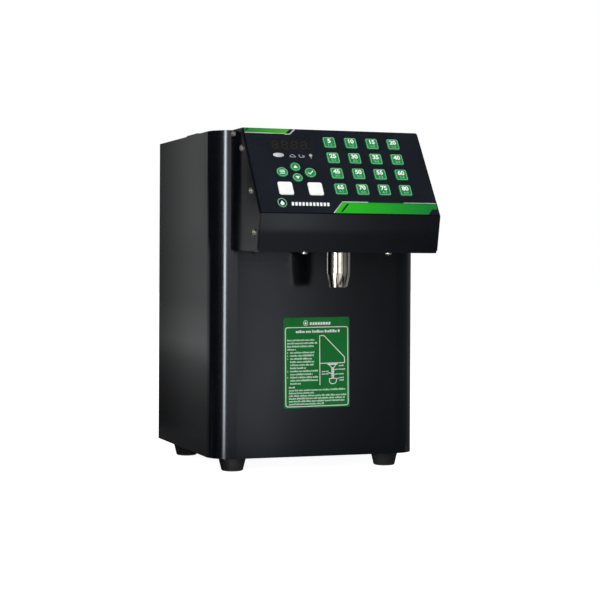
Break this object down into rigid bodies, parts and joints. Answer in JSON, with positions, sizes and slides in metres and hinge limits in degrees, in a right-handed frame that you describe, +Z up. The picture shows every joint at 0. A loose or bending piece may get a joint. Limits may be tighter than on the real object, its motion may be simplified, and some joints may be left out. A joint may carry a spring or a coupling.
{
  "type": "fructose dispenser",
  "caption": "Countertop syrup dispenser: sheet-metal case on feet, keypad head over a screw-on nozzle, lift-off lid, tank and gear pump inside.",
  "frame": {"origin": "on the floor under the feet, in the middle of the whole machine's width and depth", "axes": "+X to the right seen from the front, +Y to the back, +Z up; the front faces -Y"},
  "size_m": [0.27, 0.3754, 0.4219],
  "materials": {
    "case": "satin black powder coat",
    "overlay": "matte membrane",
    "green_key": "glossy",
    "white_key": "glossy",
    "display": "smoked",
    "nozzle_steel": "polished stainless",
    "tank_steel": "brushed",
    "screw": "nickel plated",
    "cast": "machined",
    "rubber": "matte",
    "hose": "silicone",
    "board": "solder mask",
    "black_plastic": "moulded",
    "red_plastic": "glossy",
    "label": "printed film",
    "seal": "silicone"
  },
  "bodies": {
    "case": {"outer_wrap": "case", "back_panel": "case", "base_plate": "case", "top_deck": "case", "pump_bracket": "case", "head_wrap": "case", "head_floor": "case", "head_side_left": "case", "head_side_right": "case", "keypad_overlay": "overlay", "display_window": "display", "tank": "tank_steel", "tank_outlet": "tank_steel", "nozzle_stem": "tank_steel", "case_screws": "screw", "pump_housing": "cast", "pump_cover": "cast", "pump_motor": "cast", "power_supply": "cast", "feet": "rubber", "suction_hose": "hose", "delivery_hose": "hose", "keypad_board": "board", "display_module": "black_plastic", "key_switches": "black_plastic", "keypad_cable": "black_plastic", "power_inlet": "black_plastic", "power_switch": "black_plastic", "front_label": "label"},
    "lid": {"lid": "case"},
    "rocker": {"switch_rocker": "red_plastic"},
    "pump_drive": {"drive_gear": "tank_steel", "motor_shaft": "tank_steel"},
    "pump_idler": {"idler_gear": "tank_steel"},
    "nozzle_seal": {"nozzle_seal": "seal"},
    "nozzle": {"nozzle": "nozzle_steel", "valve_spring": "tank_steel"},
    "valve_ball": {"valve_ball": "tank_steel"},
    "key_up": {"key_up": "green_key"},
    "key_down": {"key_down": "green_key"},
    "key_menu": {"key_menu": "green_key"},
    "key_enter": {"key_enter": "green_key"},
    "key_white_left": {"key_white_left": "white_key"},
    "key_white_right": {"key_white_right": "white_key"},
    "key_5": {"key_5": "green_key"},
    "key_10": {"key_10": "green_key"},
    "key_15": {"key_15": "green_key"},
    "key_20": {"key_20": "green_key"},
    "key_25": {"key_25": "green_key"},
    "key_30": {"key_30": "green_key"},
    "key_35": {"key_35": "green_key"},
    "key_40": {"key_40": "green_key"},
    "key_45": {"key_45": "green_key"},
    "key_50": {"key_50": "green_key"},
    "key_55": {"key_55": "green_key"},
    "key_60": {"key_60": "green_key"},
    "key_65": {"key_65": "green_key"},
    "key_70": {"key_70": "green_key"},
    "key_75": {"key_75": "green_key"},
    "key_80": {"key_80": "green_key"}
  },
  "joints": [
    {"name": "lid_lift", "type": "slide", "parent": "case", "child": "lid", "axis": [0, 0, 1], "range_m": [0, 0.08]},
    {"name": "rocker_tilt", "type": "hinge", "parent": "case", "child": "rocker", "pos_m": [-0.024, 0.18175, 0.0795], "axis": [1, 0, 0], "range_deg": [-20, 0]},
    {"name": "pump_spin", "type": "hinge", "parent": "case", "child": "pump_drive", "pos_m": [-0.00915, 0.02275, 0.085], "axis": [0, 0, 1], "continuous": true},
    {"name": "idler_spin", "type": "hinge", "parent": "case", "child": "pump_idler", "pos_m": [0.00915, 0.02275, 0.085], "axis": [0, 0, 1], "continuous": true},
    {"name": "nozzle_lower", "type": "slide", "parent": "case", "child": "nozzle_seal", "axis": [0, 0, -1], "range_m": [0, 0.016]},
    {"name": "nozzle_turn", "type": "hinge", "parent": "nozzle_seal", "child": "nozzle", "pos_m": [0, -0.14225, 0.2707], "axis": [0, 0, -1], "range_deg": [0, 2880]},
    {"name": "ball_open", "type": "slide", "parent": "nozzle", "child": "valve_ball", "axis": [0, 0, -1], "range_m": [0, 0.002], "stiffness_N_per_m": 250, "springref_m": -0.002, "deforming": ["valve_spring"]},
    {"name": "key_up_press", "type": "slide", "parent": "case", "child": "key_up", "axis": [0, 0.8233, -0.5676], "range_m": [0, 0.0005], "stiffness_N_per_m": 900},
    {"name": "key_down_press", "type": "slide", "parent": "case", "child": "key_down", "axis": [0, 0.8233, -0.5676], "range_m": [0, 0.0005], "stiffness_N_per_m": 900},
    {"name": "key_menu_press", "type": "slide", "parent": "case", "child": "key_menu", "axis": [0, 0.8233, -0.5676], "range_m": [0, 0.0005], "stiffness_N_per_m": 900},
    {"name": "key_enter_press", "type": "slide", "parent": "case", "child": "key_enter", "axis": [0, 0.8233, -0.5676], "range_m": [0, 0.0005], "stiffness_N_per_m": 900},
    {"name": "key_white_left_press", "type": "slide", "parent": "case", "child": "key_white_left", "axis": [0, 0.8233, -0.5676], "range_m": [0, 0.0005], "stiffness_N_per_m": 900},
    {"name": "key_white_right_press", "type": "slide", "parent": "case", "child": "key_white_right", "axis": [0, 0.8233, -0.5676], "range_m": [0, 0.0005], "stiffness_N_per_m": 900},
    {"name": "key_5_press", "type": "slide", "parent": "case", "child": "key_5", "axis": [0, 0.8233, -0.5676], "range_m": [0, 0.0005], "stiffness_N_per_m": 900},
    {"name": "key_10_press", "type": "slide", "parent": "case", "child": "key_10", "axis": [0, 0.8233, -0.5676], "range_m": [0, 0.0005], "stiffness_N_per_m": 900},
    {"name": "key_15_press", "type": "slide", "parent": "case", "child": "key_15", "axis": [0, 0.8233, -0.5676], "range_m": [0, 0.0005], "stiffness_N_per_m": 900},
    {"name": "key_20_press", "type": "slide", "parent": "case", "child": "key_20", "axis": [0, 0.8233, -0.5676], "range_m": [0, 0.0005], "stiffness_N_per_m": 900},
    {"name": "key_25_press", "type": "slide", "parent": "case", "child": "key_25", "axis": [0, 0.8233, -0.5676], "range_m": [0, 0.0005], "stiffness_N_per_m": 900},
    {"name": "key_30_press", "type": "slide", "parent": "case", "child": "key_30", "axis": [0, 0.8233, -0.5676], "range_m": [0, 0.0005], "stiffness_N_per_m": 900},
    {"name": "key_35_press", "type": "slide", "parent": "case", "child": "key_35", "axis": [0, 0.8233, -0.5676], "range_m": [0, 0.0005], "stiffness_N_per_m": 900},
    {"name": "key_40_press", "type": "slide", "parent": "case", "child": "key_40", "axis": [0, 0.8233, -0.5676], "range_m": [0, 0.0005], "stiffness_N_per_m": 900},
    {"name": "key_45_press", "type": "slide", "parent": "case", "child": "key_45", "axis": [0, 0.8233, -0.5676], "range_m": [0, 0.0005], "stiffness_N_per_m": 900},
    {"name": "key_50_press", "type": "slide", "parent": "case", "child": "key_50", "axis": [0, 0.8233, -0.5676], "range_m": [0, 0.0005], "stiffness_N_per_m": 900},
    {"name": "key_55_press", "type": "slide", "parent": "case", "child": "key_55", "axis": [0, 0.8233, -0.5676], "range_m": [0, 0.0005], "stiffness_N_per_m": 900},
    {"name": "key_60_press", "type": "slide", "parent": "case", "child": "key_60", "axis": [0, 0.8233, -0.5676], "range_m": [0, 0.0005], "stiffness_N_per_m": 900},
    {"name": "key_65_press", "type": "slide", "parent": "case", "child": "key_65", "axis": [0, 0.8233, -0.5676], "range_m": [0, 0.0005], "stiffness_N_per_m": 900},
    {"name": "key_70_press", "type": "slide", "parent": "case", "child": "key_70", "axis": [0, 0.8233, -0.5676], "range_m": [0, 0.0005], "stiffness_N_per_m": 900},
    {"name": "key_75_press", "type": "slide", "parent": "case", "child": "key_75", "axis": [0, 0.8233, -0.5676], "range_m": [0, 0.0005], "stiffness_N_per_m": 900},
    {"name": "key_80_press", "type": "slide", "parent": "case", "child": "key_80", "axis": [0, 0.8233, -0.5676], "range_m": [0, 0.0005], "stiffness_N_per_m": 900}
  ],
  "couplings": [
    {"joint": "idler_spin", "follows": "pump_spin", "ratio": -1},
    {"joint": "nozzle_turn", "follows": "nozzle_lower", "rad_per_m": 3141.6}
  ]
}
